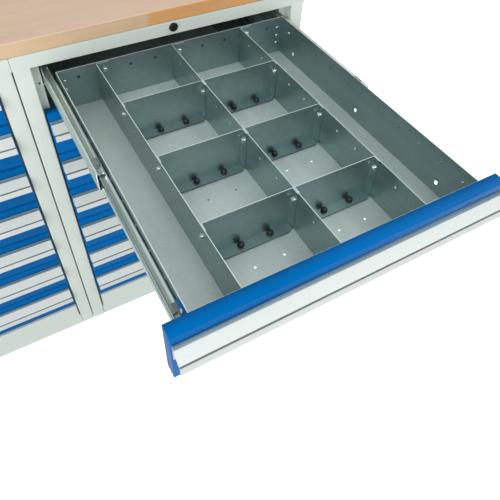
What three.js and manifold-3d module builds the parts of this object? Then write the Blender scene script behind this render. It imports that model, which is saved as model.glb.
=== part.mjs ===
// Workbench with two seven-drawer steel cabinets under a beech worktop.
// Millimetres, +Z up, drawers open towards -Y. Origin: middle of the footprint, on the floor.
import * as THREE from "three";
import { mergeVertices } from "three/addons/utils/BufferGeometryUtils.js";
import Module from "manifold-3d";

const wasm = await Module();
wasm.setup();

// ---------------------------------------------------------------- driving dimensions
// Clearances
const TOUCH = 0.3; // between pieces that are screwed, hung or laid against each other
const SEAM = 0.6; // between the two cabinets
const FRONT_GAP = 3; // round every drawer front
const SLIDE_GAP = 3.5; // ball space between two slide members
const OVERLAP = 1; // how far a cutting tool or a joined solid reaches past a face

// Worktop
const WORKTOP_W = 1250;
const WORKTOP_D = 600;
const WORKTOP_T = 26;
const WORKTOP_EDGE = 1.5; // chamfer on the long edges

// Cabinet
const CABINET_W = 580;
const CABINET_D = 600;
const CABINET_H = 800;
const SHEET = 1.5;
const STILE_W = 30;
const FLANGE_W = 15;
const TOP_RAIL = 25;
const BOTTOM_RAIL = 84;
const PLINTH_H = 39;
const BACK_FLANGE = 25;
const POST_D = 30; // the two slide posts on each side wall
const POST_FRONT_Y = 60;
const POST_REAR_GAP = 100; // from the cabinet's back to the rear posts
const POST_END_GAP = 20;

// Drawers
const DRAWERS = 7;
const FRONT_DEPTH = 18.9;
const FRONT_SETBACK = 2.8; // front skin behind the stiles' faces
const DRAWER_SHEET = 1.2;
const FLANGE_REST_GAP = 1.3; // from a closed front to the flange behind it
const TUB_FRONT_GAP = 0.8; // between a front and its tub
const TUB_REAR_SPACE = 53; // behind a closed tub, for the locking bar
const TUB_UNDERCUT = 17.9; // how much lower the front reaches than its tub is deep
const TUB_DROP = 3; // tub's rim below the front's top
const OVERTRAVEL = 21.8; // the open tub's rear wall clears the cabinet's front by this much

// Grip strip, measured from the front's top and from the cabinet's front plane
const STRIP_INSET = 2;
const STRIP_WALL = 1.6;
const STRIP_TOP = 16;
const LABEL_TOP = [-2.2, -22];
const LABEL_BOTTOM = [-17, -38.3];
const LIP_BOTTOM = [-18.6, -50.2];
const STRIP_LEG_END = 47;

// Ball slides
const SLIDE_DROP = 31; // slide centre line below the front's top
const SLIDE_SHEET = 1.5;
const SLIDE_HALF_H = 22; // half the cabinet member's height
const SLIDE_WEB_GAP = 3.2; // from the middle member's web to the drawer member's lips
const SLIDE_FLANGE_GAP = 2; // from the stile's flange to the middle member
const SLIDE_TUB_GAP = 1.3;
const CABINET_WEB_GAP = 7.5; // from the cabinet member's web to the middle member's
const CABINET_MEMBER_W = 19;
const MIDDLE_MEMBER_W = 12.2;
const DRAWER_MEMBER_W = 11.3;
const MEMBER_END_GAP = 2.5; // from a member's front end to the sheet in front of it
const CABINET_MEMBER_REAR_GAP = 23;
const MIDDLE_MEMBER_SHORTER = 10; // than the cabinet member

// Divisions of the open drawer
const HOLE_PITCH = 47.5;
const PARTITION_DROP = 2; // below the tub's rim
const PARTITION_HOLES = [2, 5, 8]; // positions along the back wall that carry a partition
const BACK_WALL_HOLES = 9;
const PARTITION_OFFSET = 14.5; // partition face left of its bolt
const PARTITION_FLANGE = 24;
const DIVIDER_ROWS = [2, 5, 8]; // positions along a partition that carry a divider
const PARTITION_FIRST_HOLE = 37; // from the tub's back wall
const DIVIDER_OFFSET = 6.5; // divider face behind its bolt
const DIVIDER_END_FLANGE = 14;
const DIVIDER_FOOT = 20;

// Central lock
const LOCK_DROP = 11; // lock axis below the cabinet's top
const LOCK_FACE_R = 8.5;
const LOCK_BARREL_R = 7;
const LOCK_BORE_CLEARANCE = 0.6;
const LOCK_PROUD = 2;
const LOCK_BARREL_L = 22;
const LOCK_ROD_R = 3;
const ROD_SIDES = 12;
const LOCK_CRANK_L = 22;
const LOCK_CRANK_T = 3;
const BAR_W = 20;
const BAR_T = 3;
const BAR_BOTTOM = 110;
const BAR_REAR_GAP = 25; // from the cabinet's back to the bar

// ---------------------------------------------------------------- finishes
const finish = (color, roughness, metalness) =>
  new THREE.MeshStandardMaterial({ color, roughness, metalness });
const beech = finish(0xdcb795, 0.6, 0);
const greyPaint = finish(0xcdd4ca, 0.5, 0.1);
const bluePaint = finish(0x0560ae, 0.35, 0.1);
const galvanised = finish(0x6f8482, 0.4, 0.8);
const aluminium = finish(0xd9dedb, 0.35, 0.9);
const zincSlide = finish(0xb4c0b6, 0.35, 0.9);
const blackPlastic = finish(0x16181a, 0.45, 0);

// ---------------------------------------------------------------- solids
const box = (x0, x1, y0, y1, z0, z1) =>
  new THREE.BoxGeometry(x1 - x0, y1 - y0, z1 - z0).translate(
    (x0 + x1) / 2,
    (y0 + y1) / 2,
    (z0 + z1) / 2,
  );

const extrude = (points, depth) =>
  new THREE.ExtrudeGeometry(
    new THREE.Shape(points.map(([u, v]) => new THREE.Vector2(u, v))),
    { depth, bevelEnabled: false },
  );

// Outline in (x, y), extruded from z0 to z1.
const prismZ = (points, z0, z1) =>
  extrude(points, z1 - z0).translate(0, 0, z0);

// Outline in (y, z), extruded from x0 to x1.
const alongX = new THREE.Matrix4().set(
  0, 0, 1, 0,
  1, 0, 0, 0,
  0, 1, 0, 0,
  0, 0, 0, 1,
);
const prismX = (points, x0, x1) =>
  extrude(points, x1 - x0).applyMatrix4(alongX).translate(x0, 0, 0);

// Outline in (x, z), extruded from y0 to y1.
const alongY = new THREE.Matrix4().set(
  1, 0, 0, 0,
  0, 0, -1, 0,
  0, 1, 0, 0,
  0, 0, 0, 1,
);
const prismY = (points, y0, y1) =>
  extrude(points, y1 - y0).applyMatrix4(alongY).translate(0, y1, 0);

// Cylinder along Y.
const rod = (x, z, radius, y0, y1, sides = 24) =>
  new THREE.CylinderGeometry(radius, radius, y1 - y0, sides).translate(x, (y0 + y1) / 2, z);

// Outline of a bent sheet: along the path on one face, back along the other face to the path's left.
function bentSheet(path, thickness) {
  const normals = path.slice(1).map((p, i) => {
    const du = p[0] - path[i][0];
    const dv = p[1] - path[i][1];
    const length = Math.hypot(du, dv);
    return [-dv / length, du / length];
  });
  const inner = path.map((p, i) => {
    const a = normals[Math.max(i - 1, 0)];
    const b = normals[Math.min(i, normals.length - 1)];
    const k = thickness / (1 + a[0] * b[0] + a[1] * b[1]);
    return [p[0] + (a[0] + b[0]) * k, p[1] + (a[1] + b[1]) * k];
  });
  return [...path, ...inner.reverse()];
}

function toSolid(geometry) {
  const bare = geometry.clone();
  bare.deleteAttribute("normal");
  bare.deleteAttribute("uv");
  const merged = mergeVertices(bare, 1e-4);
  return new wasm.Manifold(
    new wasm.Mesh({
      numProp: 3,
      vertProperties: merged.attributes.position.array,
      triVerts: new Uint32Array(merged.index.array),
    }),
  );
}

function toGeometry(solid) {
  const mesh = solid.getMesh();
  const geometry = new THREE.BufferGeometry();
  geometry.setAttribute("position", new THREE.BufferAttribute(mesh.vertProperties, 3));
  geometry.setIndex(new THREE.BufferAttribute(mesh.triVerts, 1));
  geometry.computeVertexNormals();
  return geometry;
}

const join = (...geometries) =>
  toGeometry(geometries.map(toSolid).reduce((a, b) => a.add(b)));

const cut = (body, ...tools) =>
  toGeometry(tools.map(toSolid).reduce((a, b) => a.subtract(b), toSolid(body)));

function place(parent, name, geometry, material) {
  const mesh = new THREE.Mesh(geometry, material);
  mesh.name = name;
  parent.add(mesh);
  return mesh;
}

// ---------------------------------------------------------------- places that pieces share
// In the drawer's frame: x as the cabinet's, y = 0 on the cabinet's front plane when closed,
// z = 0 on the front's top.
const openingBottom = BOTTOM_RAIL;
const openingTop = CABINET_H - TOP_RAIL;
const frontHeight = (openingTop - openingBottom - FRONT_GAP * (DRAWERS + 1)) / DRAWERS;
const drawerTop = (i) => openingTop - FRONT_GAP - i * (frontHeight + FRONT_GAP);
const frontX0 = STILE_W + FRONT_GAP;
const frontX1 = CABINET_W - frontX0;
const frontRear = FRONT_SETBACK + FRONT_DEPTH;
const stileReturn = frontRear + FLANGE_REST_GAP;

// Slide members on the left, from the stile's flange inwards
const flangeEnd = STILE_W + FLANGE_W;
const middleWebX = flangeEnd + SLIDE_FLANGE_GAP;
const cabinetWebX = middleWebX - CABINET_WEB_GAP - SLIDE_SHEET;
const drawerWebX = middleWebX + SLIDE_SHEET + SLIDE_WEB_GAP + DRAWER_MEMBER_W;
const halfMiddle = SLIDE_HALF_H - SLIDE_SHEET - SLIDE_GAP;
const halfDrawer = halfMiddle - SLIDE_SHEET - SLIDE_GAP;

const tubX0 = drawerWebX + SLIDE_TUB_GAP;
const tubX1 = CABINET_W - tubX0;
const tubY0 = frontRear + TUB_FRONT_GAP;
const tubY1 = CABINET_D - TUB_REAR_SPACE;
const tubTop = -TUB_DROP;
const tubFloor = tubTop - frontHeight + TUB_UNDERCUT + DRAWER_SHEET;
const innerRear = tubY1 - DRAWER_SHEET;
const innerFront = tubY0 + DRAWER_SHEET;
const travel = innerRear + OVERTRAVEL;

const mirrored = (points) => points.map(([x, v]) => [CABINET_W - x, v]).reverse();
const onSide = (side, points) => (side === "left" ? points : mirrored(points));

// ---------------------------------------------------------------- worktop
function addWorktop(parent) {
  const z0 = CABINET_H + TOUCH;
  const z1 = z0 + WORKTOP_T - TOUCH;
  const c = WORKTOP_EDGE;
  const section = [
    [c, z0],
    [WORKTOP_D - c, z0],
    [WORKTOP_D, z0 + c],
    [WORKTOP_D, z1 - c],
    [WORKTOP_D - c, z1],
    [c, z1],
    [0, z1 - c],
    [0, z0 + c],
  ];
  place(parent, "worktop", prismX(section, -WORKTOP_W / 2, WORKTOP_W / 2), beech);
}

// ---------------------------------------------------------------- cabinet shell
// Cabinet frame: x from 0 to CABINET_W, y = 0 on the front plane, z = 0 on the floor.
const sideTop = CABINET_H - TOP_RAIL - TOUCH;
const postPlaces = [POST_FRONT_Y, CABINET_D - POST_REAR_GAP];

// One folded side: rear flange, wall, front stile, return and inner flange, with two slide posts.
function sidePanel(side) {
  const edge = SEAM / 2;
  const shell = bentSheet(
    [
      [BACK_FLANGE, CABINET_D],
      [edge, CABINET_D],
      [edge, 0],
      [STILE_W, 0],
      [STILE_W, stileReturn],
      [flangeEnd, stileReturn],
    ],
    SHEET,
  );
  const wall = edge + SHEET / 2;
  const postFace = cabinetWebX - TOUCH;
  const post = (y) =>
    bentSheet([[wall, y], [postFace, y], [postFace, y + POST_D], [wall, y + POST_D]], SHEET);
  const posts = postPlaces.map((y) =>
    prismZ(onSide(side, post(y)), POST_END_GAP, sideTop - POST_END_GAP),
  );
  return join(prismZ(onSide(side, shell), 0, sideTop), ...posts);
}

// Upside-down tray whose front skirt is the top rail; the lock passes through a bore in it.
function topCover() {
  const x0 = SEAM / 2;
  const x1 = CABINET_W - SEAM / 2;
  const z0 = CABINET_H - TOP_RAIL;
  return cut(
    box(x0, x1, 0, CABINET_D, z0, CABINET_H),
    box(x0 + SHEET, x1 - SHEET, SHEET, CABINET_D - SHEET, z0 - OVERLAP, CABINET_H - SHEET),
    rod(CABINET_W / 2, CABINET_H - LOCK_DROP, LOCK_BARREL_R + LOCK_BORE_CLEARANCE, -OVERLAP, SHEET + OVERLAP),
  );
}

// Floor sheet with the front upstand: plinth below, fixed panel between the stiles above.
function base() {
  const x0 = STILE_W + TOUCH;
  const x1 = CABINET_W - STILE_W - TOUCH;
  const inner = SEAM / 2 + SHEET + TOUCH;
  const notch = flangeEnd + TOUCH;
  const notchY = stileReturn + SHEET + TOUCH;
  const lipY = stileReturn - TOUCH;
  const rear = CABINET_D - SHEET - TOUCH;
  const floor = [
    [x0, 0],
    [x1, 0],
    [x1, lipY],
    [CABINET_W - notch, lipY],
    [CABINET_W - notch, notchY],
    [CABINET_W - inner, notchY],
    [CABINET_W - inner, rear],
    [inner, rear],
    [inner, notchY],
    [notch, notchY],
    [notch, lipY],
    [x0, lipY],
  ];
  const postSlot = (side, y) => {
    const outline = [
      [0, y - TOUCH],
      [cabinetWebX, y - TOUCH],
      [cabinetWebX, y + POST_D + TOUCH],
      [0, y + POST_D + TOUCH],
    ];
    return prismZ(onSide(side, outline), -OVERLAP, SHEET + OVERLAP);
  };
  const panelInset = FRONT_GAP - TOUCH;
  const upstand = join(
    box(x0, x1, 0, SHEET, 0, PLINTH_H),
    box(x0 + panelInset, x1 - panelInset, 0, SHEET, PLINTH_H - OVERLAP, BOTTOM_RAIL),
    box(x0 + panelInset, x1 - panelInset, 0, lipY, BOTTOM_RAIL - SHEET, BOTTOM_RAIL),
    box(inner, CABINET_W - inner, rear - SHEET, rear, 0, PLINTH_H),
  );
  const trimmed = cut(
    prismZ(floor, 0, SHEET),
    ...["left", "right"].flatMap((side) => postPlaces.map((y) => postSlot(side, y))),
  );
  return join(trimmed, upstand);
}

function backPanel() {
  const inset = SEAM / 2 + SHEET + TOUCH;
  const y1 = CABINET_D - SHEET - TOUCH - SHEET - TOUCH;
  return box(inset, CABINET_W - inset, y1 - SHEET, y1, SHEET + TOUCH, sideTop - TOUCH);
}

// Lock barrel with the long rod that reaches the locking bar at the back.
const barFaceY = CABINET_D - BAR_REAR_GAP;
function lock() {
  const x = CABINET_W / 2;
  const z = CABINET_H - LOCK_DROP;
  const crankRear = barFaceY - TOUCH;
  const crankFront = crankRear - LOCK_CRANK_T;
  return join(
    rod(x, z, LOCK_FACE_R, -LOCK_PROUD, -TOUCH),
    rod(x, z, LOCK_BARREL_R, -TOUCH - OVERLAP, LOCK_BARREL_L),
    rod(x, z, LOCK_ROD_R, LOCK_BARREL_L - OVERLAP, crankRear, ROD_SIDES),
    box(x, x + LOCK_CRANK_L, crankFront, crankRear, z - LOCK_ROD_R, z + LOCK_ROD_R),
  );
}

function lockingBar() {
  const x = CABINET_W / 2;
  const top = CABINET_H - LOCK_DROP - LOCK_FACE_R;
  return box(x - BAR_W / 2, x + BAR_W / 2, barFaceY, barFaceY + BAR_T, BAR_BOTTOM, top);
}

function addShell(cabinet, prefix) {
  place(cabinet, `${prefix}_cabinet_left_side`, sidePanel("left"), greyPaint);
  place(cabinet, `${prefix}_cabinet_right_side`, sidePanel("right"), greyPaint);
  place(cabinet, `${prefix}_cabinet_top_cover`, topCover(), greyPaint);
  place(cabinet, `${prefix}_cabinet_base`, base(), greyPaint);
  place(cabinet, `${prefix}_cabinet_back`, backPanel(), greyPaint);
  place(cabinet, `${prefix}_lock`, lock(), blackPlastic);
  place(cabinet, `${prefix}_locking_bar`, lockingBar(), zincSlide);
}

// ---------------------------------------------------------------- drawers
// Folded front, open towards the tub.
const frontPanel = () => [
  box(frontX0, frontX1, FRONT_SETBACK, frontRear, -frontHeight, 0),
  box(
    frontX0 + DRAWER_SHEET,
    frontX1 - DRAWER_SHEET,
    FRONT_SETBACK + DRAWER_SHEET,
    frontRear + OVERLAP,
    DRAWER_SHEET - frontHeight,
    -DRAWER_SHEET,
  ),
];

// Section of the grip strip in (y, z): leg on the front, slanted label face and finger lip.
function stripSection(gap) {
  const face = FRONT_SETBACK - gap;
  const [ly, lz] = LABEL_TOP;
  const [gy, gz] = LABEL_BOTTOM;
  const [by, bz] = LIP_BOTTOM;
  const w = STRIP_WALL;
  return [
    [face, -STRIP_LEG_END],
    [face, -STRIP_TOP],
    [face - w, -STRIP_TOP],
    [ly, lz],
    [gy, gz],
    [by, bz],
    [by + w, bz],
    [gy + w, gz - w / 2],
    [face - w, lz - w],
    [face - w, -STRIP_LEG_END],
  ];
}

const gripStrip = (gap) =>
  prismX(stripSection(gap).reverse(), frontX0 + STRIP_INSET, frontX1 - STRIP_INSET);

function tub() {
  const t = DRAWER_SHEET;
  return cut(
    box(tubX0, tubX1, tubY0, tubY1, tubFloor - t, tubTop),
    box(tubX0 + t, tubX1 - t, tubY0 + t, tubY1 - t, tubFloor, tubTop + OVERLAP),
  );
}

function addClosedDrawer(cabinet, prefix, i) {
  const drawer = new THREE.Group();
  drawer.position.z = drawerTop(i);
  cabinet.add(drawer);
  const name = `${prefix}_drawer_${i + 1}`;
  const frontWithStrip = join(cut(...frontPanel()), gripStrip(-DRAWER_SHEET / 2));
  place(drawer, `${name}_front`, frontWithStrip, bluePaint);
  place(drawer, `${name}_tub`, tub(), galvanised);
}

// ---------------------------------------------------------------- ball slides
// Channel with its web at webX and its lips reaching width to the right of it (left if negative).
function channel(webX, width, half) {
  const path = [
    [webX + width, half],
    [webX, half],
    [webX, -half],
    [webX + width, -half],
  ];
  return bentSheet(width > 0 ? path : path.reverse(), SLIDE_SHEET);
}

// Three nested members: one on the cabinet's posts, one between, one on the tub.
function addSlide(side, drawerName, fixed, middle, drawer) {
  const cabinetY0 = stileReturn + SHEET + MEMBER_END_GAP;
  const cabinetY1 = CABINET_D - CABINET_MEMBER_REAR_GAP;
  const middleY0 = FRONT_SETBACK + DRAWER_SHEET + MEMBER_END_GAP;
  const middleY1 = middleY0 + cabinetY1 - cabinetY0 - MIDDLE_MEMBER_SHORTER;
  const drawerY0 = tubY0 + MEMBER_END_GAP;
  const drawerY1 = tubY1 - MEMBER_END_GAP;
  const members = [
    ["cabinet", fixed, channel(cabinetWebX, CABINET_MEMBER_W, SLIDE_HALF_H), cabinetY0, cabinetY1],
    ["middle", middle, channel(middleWebX, MIDDLE_MEMBER_W, halfMiddle), middleY0, middleY1],
    ["drawer", drawer, channel(drawerWebX, -DRAWER_MEMBER_W, halfDrawer), drawerY0, drawerY1],
  ];
  for (const [kind, group, section, y0, y1] of members) {
    const geometry = prismY(onSide(side, section), y0, y1).translate(0, 0, -SLIDE_DROP);
    place(group, `${drawerName}_${side}_slide_${kind}_member`, geometry, zincSlide);
  }
}

// ---------------------------------------------------------------- open drawer
const gridX = (n) => CABINET_W / 2 + (n - (BACK_WALL_HOLES + 1) / 2) * HOLE_PITCH;
const partitionX = PARTITION_HOLES.map((n) => gridX(n) - PARTITION_OFFSET);
const plateTop = tubTop - PARTITION_DROP;
const plateBottom = tubFloor + TOUCH;
const dividerY = DIVIDER_ROWS.map(
  (n) => innerRear - PARTITION_FIRST_HOLE - n * HOLE_PITCH + DIVIDER_OFFSET,
);

// Long partition with a bolting flange turned to the right at each end.
function partition(x) {
  const y0 = innerFront + TOUCH;
  const y1 = innerRear - TOUCH;
  const path = [
    [x + PARTITION_FLANGE, y1],
    [x, y1],
    [x, y0],
    [x + PARTITION_FLANGE, y0],
  ];
  return prismZ(bentSheet(path, DRAWER_SHEET), plateBottom, plateTop);
}

// Cross divider: plate, two end flanges and a foot, all turned to the front.
function divider(x0, x1, y) {
  const path = [
    [x1, y - DIVIDER_END_FLANGE],
    [x1, y],
    [x0, y],
    [x0, y - DIVIDER_END_FLANGE],
  ];
  const walls = prismZ(bentSheet(path, DRAWER_SHEET), plateBottom, plateTop);
  const foot = box(x0, x1, y - DIVIDER_FOOT, y, plateBottom, plateBottom + DRAWER_SHEET);
  return join(walls, foot);
}

function addOpenDrawer(cabinet, prefix) {
  const name = `${prefix}_drawer_1`;
  const drawer = new THREE.Group();
  drawer.position.set(0, -travel, drawerTop(0));
  cabinet.add(drawer);
  const middle = new THREE.Group();
  middle.position.set(0, -travel / 2, drawerTop(0));
  cabinet.add(middle);
  const fixed = new THREE.Group();
  fixed.position.z = drawerTop(0);
  cabinet.add(fixed);

  place(drawer, `${name}_front`, cut(...frontPanel()), bluePaint);
  place(drawer, `${name}_grip_strip`, gripStrip(TOUCH), aluminium);
  place(drawer, `${name}_tub`, tub(), galvanised);
  partitionX.forEach((x, i) =>
    place(drawer, `${name}_partition_${i + 1}`, partition(x), galvanised),
  );
  for (let column = 0; column < partitionX.length - 1; column += 1) {
    const x0 = partitionX[column] + DRAWER_SHEET + TOUCH;
    const x1 = partitionX[column + 1] - TOUCH;
    dividerY.forEach((y, row) =>
      place(drawer, `${name}_divider_${column + 1}_${row + 1}`, divider(x0, x1, y), galvanised),
    );
  }
  for (const side of ["left", "right"]) addSlide(side, name, fixed, middle, drawer);
}

// ---------------------------------------------------------------- assembly
const workbench = new THREE.Group();
const foremost = LIP_BOTTOM[0] - travel;
workbench.position.y = -(foremost + Math.max(CABINET_D, WORKTOP_D)) / 2;

addWorktop(workbench);
for (const [prefix, x] of [["left", -CABINET_W], ["right", 0]]) {
  const cabinet = new THREE.Group();
  cabinet.position.x = x;
  workbench.add(cabinet);
  addShell(cabinet, prefix);
  const isOpen = (i) => prefix === "right" && i === 0;
  for (let i = 0; i < DRAWERS; i += 1) {
    if (isOpen(i)) addOpenDrawer(cabinet, prefix);
    else addClosedDrawer(cabinet, prefix, i);
  }
}

export default workbench;
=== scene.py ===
"""Looks of a workbench with two seven-drawer cabinets, its top right drawer open."""

import math

import bmesh
import bpy
from mathutils import Matrix, Vector


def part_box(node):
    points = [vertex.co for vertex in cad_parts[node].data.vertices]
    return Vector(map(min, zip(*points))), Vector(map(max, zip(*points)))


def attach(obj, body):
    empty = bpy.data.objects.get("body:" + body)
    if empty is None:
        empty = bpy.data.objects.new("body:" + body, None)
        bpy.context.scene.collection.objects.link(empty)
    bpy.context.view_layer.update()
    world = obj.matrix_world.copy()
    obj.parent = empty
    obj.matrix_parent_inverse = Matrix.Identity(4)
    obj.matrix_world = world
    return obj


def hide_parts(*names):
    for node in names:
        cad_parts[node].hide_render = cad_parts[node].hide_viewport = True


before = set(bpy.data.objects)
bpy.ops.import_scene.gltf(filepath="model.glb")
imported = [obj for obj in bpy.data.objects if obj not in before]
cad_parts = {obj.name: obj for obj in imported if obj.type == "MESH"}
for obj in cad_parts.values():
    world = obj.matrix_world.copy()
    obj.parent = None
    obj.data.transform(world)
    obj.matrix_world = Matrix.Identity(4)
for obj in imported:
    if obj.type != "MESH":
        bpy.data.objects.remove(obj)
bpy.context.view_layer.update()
scene = bpy.context.scene
MM = 0.001

# -------- sizes, in millimetres
# Cabinet frame: x = 0 at the cabinet's left, y = 0 on its front plane, z = 0 on the floor.
# Drawer frame: the same x and y when the drawer is shut, z = 0 on the front's top.
CABINET_W = 580
CABINET_D = 600
CABINET_H = 800
HALF_SEAM = 0.3
SEAM_RELIEF = 1.1
SEAM_STEP_Y = (9, 12)
DRAWERS = 7
SHEET = 1.5
DRAWER_SHEET = 1.2
TOUCH = 0.3

STILE_W = 30
FLANGE_END = 45
STILE_RETURN = 23
RAIL_BOTTOM = 775
BACK_FLANGE = 25
FOLD_RADIUS = 2.6
POST_Y = (60, 500)
POST_D = 30
POST_FACE = 37.7
POST_BENDS = [0, 2.2, 2.2, 0]
POST_ENDS = (20, 754.7)

FRONT_X = (33, 547)
FRONT_Y = (2.8, 21.7)
NOSE_RADIUS = 4.5
STRIP_INSET = 2

TUB_X = (64.3, 515.7)
TUB_Y = (22.5, 547)
TUB_TOP = -3
HOLE_PITCH = 47.5
HOLE_RADIUS = 2.9
WALL_HOLE_DROP = 19
WALL_HOLE_START = 471.3
FLOOR_HOLE_RADIUS = 2.0
BOLT_HOLE_RADIUS = 2.3
HOOK_SLOT_RADIUS = 3.2
RIVET_INSET = 11
RIVET_DROPS = (21, 38, 54)
WALL_RIVET_DROP = 22
WALL_RIVETS_Y = (518.8, 43.8)
PARTITION_OFFSET = 14.5
BOLTED_HOLES = (2, 5, 8)

SLIDE_DROP = 31
SLIDE_SHEET = 1.5

LOCK_DROP = 11
LOCK_FACE_RADIUS = 8.5
LOCK_BORE_RADIUS = 7.6

DRAWER_GAP = 3
SLIDE_CLEARANCE = 25
BRACKET_REACH = 55
FLANGE_HOLE = (39, 728)
RETURN_HOLE = (10, 745)

PLATE_BENDS = [0, 1.8, 1.8, 0]
PARTITION_FLANGE = 24
DIVIDER_FLANGE = 14
FOOT_DEPTH = 18
FOOT_CORNER = 8
ROW_START = 37
PLATE_HOLE_DROP = 18
DIVIDER_BOLT_AHEAD = 6.5
RIVET_AHEAD = 7.5
TONGUE_RADIUS = 5.2
BRACKET_X = 62.3


OPEN_DRAWER = ("right", 1)
OPEN_BODY = "right_drawer_1"


def height_of(node):
    low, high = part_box(node)
    return (high.z - low.z) / MM


FRONT_H = height_of(f"{OPEN_BODY}_front")
TUB_H = height_of(f"{OPEN_BODY}_tub")
PITCH = (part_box("left_drawer_1_front")[1].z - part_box("left_drawer_2_front")[1].z) / MM
TUB_FLOOR = TUB_TOP - TUB_H + DRAWER_SHEET


# -------- where things stand
def cabinet_origin(cabinet):
    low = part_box(f"{cabinet}_cabinet_top_cover")[0]
    return Vector((low.x - HALF_SEAM * MM, low.y, 0))


def drawer_origin(cabinet, number):
    name = f"{cabinet}_drawer_{number}"
    front_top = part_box(f"{name}_front")[1].z
    tub_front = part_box(f"{name}_tub")[0].y
    return Vector((cabinet_origin(cabinet).x, tub_front - TUB_Y[0] * MM, front_top))


CABINETS = ("left", "right")
SIDES = ("left", "right")
DRAWER_NAMES = [(cabinet, n + 1) for cabinet in CABINETS for n in range(DRAWERS)]


def put_in_scene(piece):
    scene.collection.objects.link(piece)


# -------- camera
def add_camera():
    front_y = cabinet_origin("right").y
    camera = bpy.data.cameras.new("camera")
    camera.lens = 37.8
    camera.sensor_width = 36
    camera.shift_x = 0.0008
    camera.shift_y = -0.101
    camera.clip_start = 0.05
    holder = bpy.data.objects.new("camera", camera)
    azimuth, depression, roll = math.radians(32.02), math.radians(46.70), math.radians(3.36)
    turn = Matrix.Rotation(-azimuth, 3, "Z") @ Matrix.Rotation(math.pi / 2 - depression, 3, "X")
    turn = turn @ Matrix.Rotation(roll, 3, "Z")
    holder.location = Vector((-0.0445, front_y - 0.8334, 1.2781))
    holder.rotation_euler = turn.to_euler()
    put_in_scene(holder)
    scene.camera = holder


add_camera()


# -------- material nodes
def linear(hex_colour):
    """A colour written as screen hex, in the linear values that shaders take."""
    parts = [(hex_colour >> shift & 255) / 255 for shift in (16, 8, 0)]
    return (*[p / 12.92 if p <= 0.04045 else ((p + 0.055) / 1.055) ** 2.4 for p in parts], 1)


class Finish:
    """A material under construction: its tree, its shader and short calls for the nodes it needs."""

    def __init__(self, name, colour, roughness, metallic=0.0):
        self.material = bpy.data.materials.new(name)
        self.material.use_nodes = True
        self.tree = self.material.node_tree
        self.shader = self.tree.nodes["Principled BSDF"]
        self.shader.inputs["Base Color"].default_value = linear(colour)
        self.shader.inputs["Roughness"].default_value = roughness
        self.shader.inputs["Metallic"].default_value = metallic
        self.material.diffuse_color = linear(colour)
        self.place = self.add("ShaderNodeTexCoord").outputs["Object"]

    def add(self, kind, **settings):
        node = self.tree.nodes.new(kind)
        for key, value in settings.items():
            setattr(node, key, value)
        return node

    def link(self, source, target):
        self.tree.links.new(source, target)

    def feed(self, socket, value):
        if isinstance(value, bpy.types.NodeSocket):
            self.link(value, socket)
        else:
            socket.default_value = value

    def stretched(self, scale):
        """Object coordinates multiplied by scale along each axis."""
        mapping = self.add("ShaderNodeMapping")
        mapping.inputs["Scale"].default_value = scale
        self.link(self.place, mapping.inputs["Vector"])
        return mapping.outputs["Vector"]

    def noise(self, scale, detail=3.0, vector=None, roughness=0.55):
        node = self.add("ShaderNodeTexNoise")
        node.inputs["Scale"].default_value = scale
        node.inputs["Detail"].default_value = detail
        node.inputs["Roughness"].default_value = roughness
        self.link(self.place if vector is None else vector, node.inputs["Vector"])
        return node.outputs["Fac"]

    def cells(self, scale):
        """A random value for each grain of a crystal pattern."""
        node = self.add("ShaderNodeTexVoronoi")
        node.inputs["Scale"].default_value = scale
        self.link(self.place, node.inputs["Vector"])
        separate = self.add("ShaderNodeSeparateColor")
        self.link(node.outputs["Color"], separate.inputs["Color"])
        return separate.outputs["Red"]

    def math(self, operation, a, b=0.0):
        node = self.add("ShaderNodeMath", operation=operation)
        self.feed(node.inputs[0], a)
        self.feed(node.inputs[1], b)
        return node.outputs["Value"]

    def span(self, value, low, high, from_low=0.0, from_high=1.0):
        """value moved from one range to another."""
        node = self.add("ShaderNodeMapRange")
        self.link(value, node.inputs["Value"])
        limits = {"From Min": from_low, "From Max": from_high, "To Min": low, "To Max": high}
        for label, limit in limits.items():
            node.inputs[label].default_value = limit
        return node.outputs["Result"]

    def ramp(self, value, stops):
        node = self.add("ShaderNodeValToRGB")
        elements = node.color_ramp.elements
        while len(elements) < len(stops):
            elements.new(0.5)
        for element, (position, colour) in zip(elements, stops):
            element.position = position
            element.color = linear(colour)
        self.link(value, node.inputs["Fac"])
        return node.outputs["Color"]

    def mix(self, share, a, b, blend="MIX"):
        node = self.add("ShaderNodeMix", data_type="RGBA", blend_type=blend)
        self.feed(node.inputs["Factor"], share)
        self.feed(node.inputs["A"], a)
        self.feed(node.inputs["B"], b)
        return node.outputs["Result"]

    def split(self, vector=None):
        node = self.add("ShaderNodeSeparateXYZ")
        self.link(self.place if vector is None else vector, node.inputs["Vector"])
        return node.outputs["X"], node.outputs["Y"], node.outputs["Z"]

    def colour(self, value):
        self.link(value, self.shader.inputs["Base Color"])

    def roughness(self, value):
        self.link(value, self.shader.inputs["Roughness"])

    def bump(self, height, distance, strength=1.0):
        node = self.add("ShaderNodeBump")
        node.inputs["Strength"].default_value = strength
        node.inputs["Distance"].default_value = distance
        self.link(height, node.inputs["Height"])
        self.link(node.outputs["Normal"], self.shader.inputs["Normal"])


def powder_coat(name, colour, deeper, roughness, shine, tint=0xFFFFFF):
    """Baked powder paint: faint orange peel, slight drift of tone and gloss."""
    finish = Finish(name, colour, roughness)
    drift = finish.noise(3.5, detail=2)
    finish.colour(finish.ramp(drift, [(0.3, deeper), (0.7, colour)]))
    finish.roughness(finish.span(finish.noise(40, detail=4), roughness - 0.05, roughness + 0.06))
    finish.bump(finish.noise(700, detail=2), distance=0.00012, strength=0.35)
    finish.shader.inputs["Specular IOR Level"].default_value = shine
    finish.shader.inputs["Specular Tint"].default_value = linear(tint)
    return finish.material


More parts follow.
